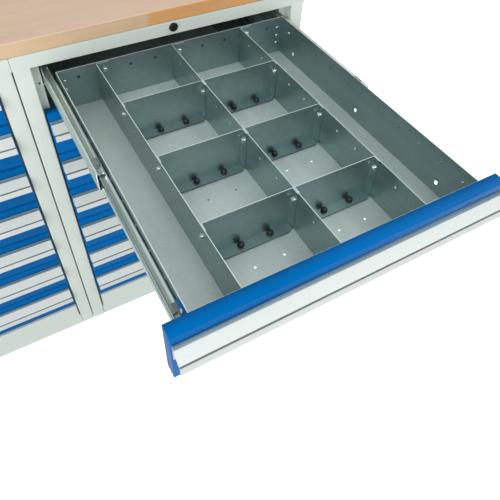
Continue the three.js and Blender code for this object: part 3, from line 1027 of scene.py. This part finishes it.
def member_mesh(kind, side):
    """One slide member, its ball track a separate greased face."""
    web_x, width, half, y0, y1 = MEMBERS[kind]
    section = [Vector((p.x, p.y - SLIDE_DROP)) for p in slide_channel(web_x, width, half, TRACK_BULGE)]
    if side == "right":
        section = mirrored(section)
    bm = bmesh.new()
    add_prism(bm, section, "y", y0, y1)
    mesh = to_mesh(bm, f"{kind}_member", smooth_below=40)
    mesh.materials.append(ZINC_PLATE)
    mesh.materials.append(GREASED_TRACK)
    edge = CABINET_W - web_x if side == "right" else web_x
    for polygon in mesh.polygons:
        out = abs(polygon.center.x / MM - edge)
        in_groove = abs(width) * 0.3 < out < abs(width) - 1.5
        flat_lip = abs(polygon.normal.z) > 0.9
        polygon.material_index = 1 if in_groove and flat_lip else 0
    return mesh


def joined(name, meshes):
    """Several meshes with the same material slots as one."""
    bm = bmesh.new()
    for mesh in meshes:
        bm.from_mesh(mesh)
    result = bpy.data.meshes.new(name)
    bm.to_mesh(result)
    bm.free()
    for material in meshes[0].materials:
        result.materials.append(material)
    result.set_sharp_from_angle(angle=math.radians(40))
    return result


FRONT = front_mesh()
STRIP = strip_mesh()
TUB = tub_mesh()
TONGUES = hook_tongues_mesh()


def tub_rivets():
    """Rivet places: both back corners, and both ends of each side wall."""
    back_inside = TUB_Y[1] - DRAWER_SHEET
    corners = (TUB_X[1] - RIVET_INSET, TUB_X[0] + RIVET_INSET)
    back = [(x, back_inside, TUB_TOP - drop) for x in corners for drop in RIVET_DROPS]
    ends = [(y, TUB_TOP - WALL_RIVET_DROP) for y in WALL_RIVETS_Y]
    left = [(TUB_X[0] + DRAWER_SHEET, y, z) for y, z in ends]
    right = [(TUB_X[1] - DRAWER_SHEET, y, z) for y, z in ends]
    return {"front": back, "right": left, "left": right}


def add_drawer(cabinet, number):
    """Front, grip strip, tub and rivets of one drawer."""
    body = f"{cabinet}_drawer_{number}"
    origin = drawer_origin(cabinet, number)
    is_open = (cabinet, number) == OPEN_DRAWER
    name = f"{body}_folded_front"
    front = shown(name, FRONT, BLUE_PAINT, body, [f"{body}_front"], at=origin)
    wall = front.modifiers.new("sheet", "SOLIDIFY")
    wall.thickness = DRAWER_SHEET * MM
    wall.offset = -1
    strip_for = [f"{body}_grip_strip"] if is_open else []
    shown(f"{body}_aluminium_strip", STRIP, ALUMINIUM, body, strip_for, at=origin)
    shown(f"{body}_tray", TUB, GALVANISED, body, [f"{body}_tub"], at=origin)
    shown(f"{body}_hook_tongues", TONGUES, GALVANISED, body, at=origin)
    for facing, points in tub_rivets().items():
        zinc_fasteners(f"{body}_rivets_{facing}", points, RIVET, facing, body, origin)
    if not is_open:
        members = joined("members", [member_mesh("drawer", side) for side in SIDES])
        shown(f"{body}_slide_members", members, ZINC_PLATE, body, at=origin)


# -------- open drawer's divisions
def partition_mesh(x):
    y0 = TUB_Y[0] + DRAWER_SHEET + TOUCH
    y1 = TUB_Y[1] - DRAWER_SHEET - TOUCH
    bm = bmesh.new()
    end = x + PARTITION_FLANGE
    section = sheet_section([(end, y1), (x, y1), (x, y0), (end, y0)], PLATE_BENDS, DRAWER_SHEET)
    add_prism(bm, section, "z", PLATE_BOTTOM, PLATE_TOP)
    first = (x, ROW_Y, PLATE_TOP - PLATE_HOLE_DROP)
    rows = [hole_row(first, (0, -HOLE_PITCH, 0), 11, "x", GALVANISED, BOLT_HOLE_RADIUS)]
    mesh = baked(to_mesh(bm, "partition"), rows)
    bright_edges(mesh, PLATE_TOP)
    mesh.set_sharp_from_angle(angle=math.radians(35))
    return mesh


def divider_mesh(x0, x1, y):
    """Cross plate with two end flanges and a foot with rounded front corners."""
    bm = bmesh.new()
    tip = y - DIVIDER_FLANGE
    section = sheet_section([(x1, tip), (x1, y), (x0, y), (x0, tip)], PLATE_BENDS, DRAWER_SHEET)
    add_prism(bm, section, "z", PLATE_BOTTOM, PLATE_TOP)
    rear = y - DRAWER_SHEET / 2
    left, right = x0 + FOOT_INSET[0], x1 - FOOT_INSET[1]
    toe = y - FOOT_DEPTH
    corners = [(left, rear), (left, toe), (right, toe), (right, rear)]
    foot = rounded_path(corners, [0, FOOT_CORNER, FOOT_CORNER, 0], steps=5)
    add_prism(bm, foot, "z", FOOT_TOP - DRAWER_SHEET, FOOT_TOP)
    mesh = to_mesh(bm, "divider")
    bright_edges(mesh, PLATE_TOP)
    # The foot's upright front and side faces get the painted shadow line.
    mesh.materials.append(SHADED_EDGE)
    for polygon in mesh.polygons:
        place = polygon.center / MM
        upright = abs(polygon.normal.z) < 0.1
        if place.z < FOOT_TOP and place.y < y - 2 and upright:
            polygon.material_index = 2
    return mesh


def add_divisions():
    body = OPEN_BODY
    origin = drawer_origin(*OPEN_DRAWER)
    hole_z = PLATE_TOP - PLATE_HOLE_DROP
    for i, x in enumerate(PARTITION_X):
        name = f"{body}_long_partition_{i + 1}"
        node = f"{body}_partition_{i + 1}"
        shown(name, partition_mesh(x), GALVANISED, body, [node], at=origin)
    bolts_front, bolts_left, bolts_outer, feet = [], [], [], []
    rear = TUB_Y[1] - DRAWER_SHEET - TOUCH - DRAWER_SHEET
    for n in BOLTED_HOLES:
        bolts_front.append((grid_x(n), rear, TUB_TOP - WALL_HOLE_DROP + 3))
    for column, x in enumerate(PARTITION_X[:-1]):
        x0 = x + DRAWER_SHEET + TOUCH
        x1 = PARTITION_X[column + 1] - TOUCH
        for row, y in enumerate(DIVIDER_Y):
            name = f"{body}_cross_divider_{column + 1}_{row + 1}"
            node = f"{body}_divider_{column + 1}_{row + 1}"
            shown(name, divider_mesh(x0, x1, y), GALVANISED, body, [node], at=origin)
            bolt_y = y - DIVIDER_BOLT_AHEAD
            bolts_left.append((x1 - DRAWER_SHEET, bolt_y, hole_z))
            if column == 0:
                bolts_outer.append((x0 - DRAWER_SHEET - TOUCH, bolt_y, hole_z))
            for n in (3 + 3 * column, 4 + 3 * column):
                feet.append((grid_x(n) + FLOOR_GRID_SHIFT, y - RIVET_AHEAD, FOOT_TOP))
    zinc_fasteners(f"{body}_partition_bolts", bolts_front, BOLT, "front", body, origin)
    zinc_fasteners(f"{body}_divider_bolts", bolts_left, BOLT, "left", body, origin)
    zinc_fasteners(f"{body}_outer_bolts", bolts_outer, BOLT, "left", body, origin)
    plugs = f"{body}_push_rivets"
    fastener_set(plugs, feet, PUSH_RIVET, "up", BLACK_PLASTIC, body, origin)


# -------- slides
def add_slides():
    body = OPEN_BODY
    open_origin = drawer_origin(*OPEN_DRAWER)
    shut_origin = Vector((open_origin.x, cabinet_origin("right").y, open_origin.z))
    middle_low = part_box(f"{body}_left_slide_middle_member")[0]
    middle_y = middle_low.y - MEMBERS["middle"][3] * MM
    middle_origin = Vector((open_origin.x, middle_y, open_origin.z))
    homes = {
        "cabinet": ("bench", shut_origin),
        "middle": (f"{body}_slide_middles", middle_origin),
        "drawer": (body, open_origin),
    }
    for side in SIDES:
        for kind, (home, origin) in homes.items():
            node = f"{body}_{side}_slide_{kind}_member"
            name = f"{body}_{side}_rolled_{kind}_member"
            shown(name, member_mesh(kind, side), ZINC_PLATE, home, [node], at=origin)
    add_slide_trim(open_origin, middle_origin)


def add_slide_trim(open_origin, middle_origin):
    """Plastic clips on the middle members, catches and blue brackets at the tub's front corners."""
    clips, catches, brackets = bmesh.new(), bmesh.new(), bmesh.new()
    centre = -SLIDE_DROP
    # x, y and height above the slide's centre line of each block on the left slide
    blocks = [
        (clips, (49.5, 59.8), (24, 40), (14.0, 18.4)),
        (clips, (51.5, 58.2), (20, 24), (14.0, 17.4)),
        (catches, (52.5, 63.0), (38, 52), (10.0, 13.4)),
        (catches, (58.5, 64.0), (25, 38), (11.0, 13.4)),
    ]
    outline = [(23, -8), (23, -70), (46, -70), (58, -52), (58, -20), (44, -8)]
    for side in SIDES:
        flip = (lambda x: x) if side == "left" else (lambda x: CABINET_W - x)
        for bm, x, y, z in blocks:
            add_block(bm, sorted(map(flip, x)), y, (centre + z[0], centre + z[1]))
        plate = sorted((flip(BRACKET_X), flip(BRACKET_X + 1.9)))
        add_prism(brackets, outline, "x", *plate)
    body = OPEN_BODY
    for name, bm, home, origin in (
        ("clips", clips, f"{body}_slide_middles", middle_origin),
        ("catches", catches, body, open_origin),
    ):
        mesh = to_mesh(bm, name)
        soften(shown(f"{body}_{name}", mesh, GREY_PLASTIC, home, at=origin), 0.8)
    mesh = to_mesh(brackets, "brackets")
    shown(f"{body}_brackets", mesh, BLUE_PAINT, body, at=open_origin)
    for side in SIDES:
        x = BRACKET_X if side == "left" else CABINET_W - BRACKET_X
        name = f"{body}_bracket_screw_{side}"
        zinc_fasteners(name, [(x, 36, -16)], PAN_SCREW, side, body, open_origin)


def add_shut_slide_members():
    """Cabinet members of the thirteen shut drawers."""
    for cabinet in CABINETS:
        meshes = []
        for number in range(1, DRAWERS + 1):
            if (cabinet, number) == OPEN_DRAWER:
                continue
            origin = drawer_origin(cabinet, number)
            for side in SIDES:
                mesh = member_mesh("cabinet", side)
                mesh.transform(Matrix.Translation(origin))
                meshes.append(mesh)
        name = f"{cabinet}_cabinet_slide_members"
        shown(name, joined(name, meshes), ZINC_PLATE, "bench")


# -------- floor and light
def add_floor():
    bm = bmesh.new()
    bmesh.ops.create_grid(bm, x_segments=1, y_segments=1, size=14)
    mesh = bpy.data.meshes.new("studio_floor")
    bm.to_mesh(mesh)
    bm.free()
    finish = Finish("studio_floor", 0xE8E8E8, 0.9)
    finish.shader.inputs["Emission Color"].default_value = (1, 1, 1, 1)
    seen = finish.add("ShaderNodeLightPath").outputs["Is Camera Ray"]
    finish.link(finish.span(seen, 0.0, 0.6), finish.shader.inputs["Emission Strength"])
    mesh.materials.append(finish.material)
    floor = bpy.data.objects.new("studio_floor", mesh)
    floor.location.z = -0.0005
    put_in_scene(floor)


def add_light(name, place, target, size, power):
    light = bpy.data.lights.new(name, "AREA")
    light.shape = "RECTANGLE"
    light.size, light.size_y = size
    light.energy = power
    holder = bpy.data.objects.new(name, light)
    holder.location = place
    holder.rotation_euler = (Vector(target) - Vector(place)).to_track_quat("-Z", "Y").to_euler()
    put_in_scene(holder)


def add_studio():
    world = bpy.data.worlds.new("studio")
    scene.world = world
    world.use_nodes = True
    nodes, links = world.node_tree.nodes, world.node_tree.links
    background = nodes["Background"]
    height = nodes.new("ShaderNodeSeparateXYZ")
    ramp = nodes.new("ShaderNodeValToRGB")
    links.new(nodes.new("ShaderNodeTexCoord").outputs["Generated"], height.inputs["Vector"])
    links.new(height.outputs["Z"], ramp.inputs["Fac"])
    ramp.color_ramp.elements[0].position = 0.1
    ramp.color_ramp.elements[0].color = (0.20, 0.225, 0.23, 1)
    ramp.color_ramp.elements[1].position = 0.8
    ramp.color_ramp.elements[1].color = (0.98, 1.0, 1.0, 1)
    seen = nodes.new("ShaderNodeMix")
    seen.data_type = "RGBA"
    seen.inputs["B"].default_value = (1, 1, 1, 1)
    links.new(nodes.new("ShaderNodeLightPath").outputs["Is Camera Ray"], seen.inputs["Factor"])
    links.new(ramp.outputs["Color"], seen.inputs["A"])
    links.new(seen.outputs["Result"], background.inputs["Color"])
    background.inputs["Strength"].default_value = 1.05
    add_light("key", (-2.2, -2.5, 2.3), (0.1, -0.1, 0.6), (2.2, 2.2), 95)
    add_light("fill", (2.4, -1.2, 2.6), (0.2, -0.2, 0.6), (2.0, 2.0), 30)


# -------- assembly
add_worktop()
dress_frame_nodes()
for cabinet in CABINETS:
    add_top_cover(cabinet)
    add_lock_face(cabinet)
    for side in SIDES:
        add_side(cabinet, side)
for cabinet, number in DRAWER_NAMES:
    add_drawer(cabinet, number)
add_divisions()
add_slides()
add_shut_slide_members()
for pattern in (RIVET, PUSH_RIVET, BOLT, PAN_SCREW):
    bpy.data.objects.remove(pattern)
add_floor()
add_studio()
scene.view_settings.view_transform = "Standard"
